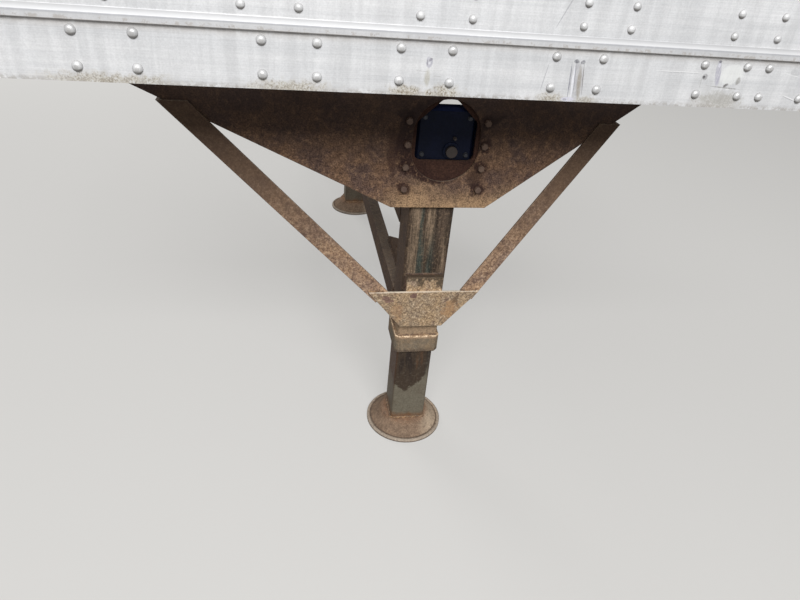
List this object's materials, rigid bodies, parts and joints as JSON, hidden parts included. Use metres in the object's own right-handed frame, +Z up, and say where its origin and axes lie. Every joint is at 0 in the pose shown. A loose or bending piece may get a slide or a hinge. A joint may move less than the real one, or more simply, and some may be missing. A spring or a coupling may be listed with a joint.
{
  "type": "semi trailer landing gear",
  "caption": "Two braced telescopic support legs with round feet, hung by wing plates under a riveted length of trailer frame, with a cross shaft and a folding hand crank.",
  "frame": {"origin": "on the floor midway between the two legs, below the axis of the cross shaft", "axes": "+X to the front of the trailer, +Y across it to the crank's side, +Z up"},
  "size_m": [1.9, 2.604, 1.466],
  "materials": {
    "rail": "weathered mill finish aluminium, scratched, grime along the lower edge",
    "crossmember": "dark paint, dusty and rusting",
    "wing": "brown rust with dark paint remnants",
    "brace": "pale tan rust",
    "outer_leg": "worn blue grey paint over rust",
    "inner_leg": "dull grey steel with dark brown stains",
    "foot": "reddish brown rust, pale worn rim",
    "gear_case": "navy blue paint",
    "shaft": "dull worn steel",
    "handle": "dark paint, worn at the grip"
  },
  "bodies": {
    "frame": {"collar_far": "outer_leg", "collar_near": "outer_leg", "crossmember_1": "crossmember", "crossmember_2": "crossmember", "crossmember_3": "crossmember", "crossmember_4": "crossmember", "crossmember_5": "crossmember", "crossmember_6": "crossmember", "front_brace_far": "brace", "front_brace_near": "brace", "gear_case_far": "gear_case", "gear_case_near": "gear_case", "gearbox": "gear_case", "gusset_far": "brace", "gusset_near": "brace", "knee_plate_far": "brace", "knee_plate_near": "brace", "mounting_plate_far": "wing", "mounting_plate_near": "wing", "outer_leg_far": "outer_leg", "outer_leg_near": "outer_leg", "packer_far": "brace", "packer_near": "brace", "rail_far": "rail", "rail_near": "rail", "rear_brace_far": "brace", "rear_brace_near": "brace", "tie": "brace", "upper_tie": "brace", "wing_plate_far": "wing", "wing_plate_near": "wing"},
    "far_leg": {"inner_leg_far": "inner_leg", "foot_far": "foot"},
    "near_leg": {"inner_leg_near": "inner_leg", "foot_near": "foot"},
    "crank": {"cross_shaft": "shaft", "crank_shaft": "shaft"},
    "handle": {"crank_handle": "handle"}
  },
  "joints": [
    {"name": "far_leg_slide", "type": "slide", "parent": "frame", "child": "far_leg", "axis": [0, 0, -1], "range_m": [-0.265, 0.165]},
    {"name": "near_leg_slide", "type": "slide", "parent": "frame", "child": "near_leg", "axis": [0, 0, -1], "range_m": [-0.265, 0.165]},
    {"name": "crank_turn", "type": "hinge", "parent": "frame", "child": "crank", "pos_m": [0.03, 0.9, 1.004], "axis": [0, 1, 0], "continuous": true},
    {"name": "handle_fold", "type": "hinge", "parent": "crank", "child": "handle", "pos_m": [0.03, 1.25, 1.004], "axis": [1, 0, 0], "range_deg": [0, 90]}
  ],
  "couplings": [
    {"joint": "near_leg_slide", "follows": "far_leg_slide", "ratio": 1}
  ]
}
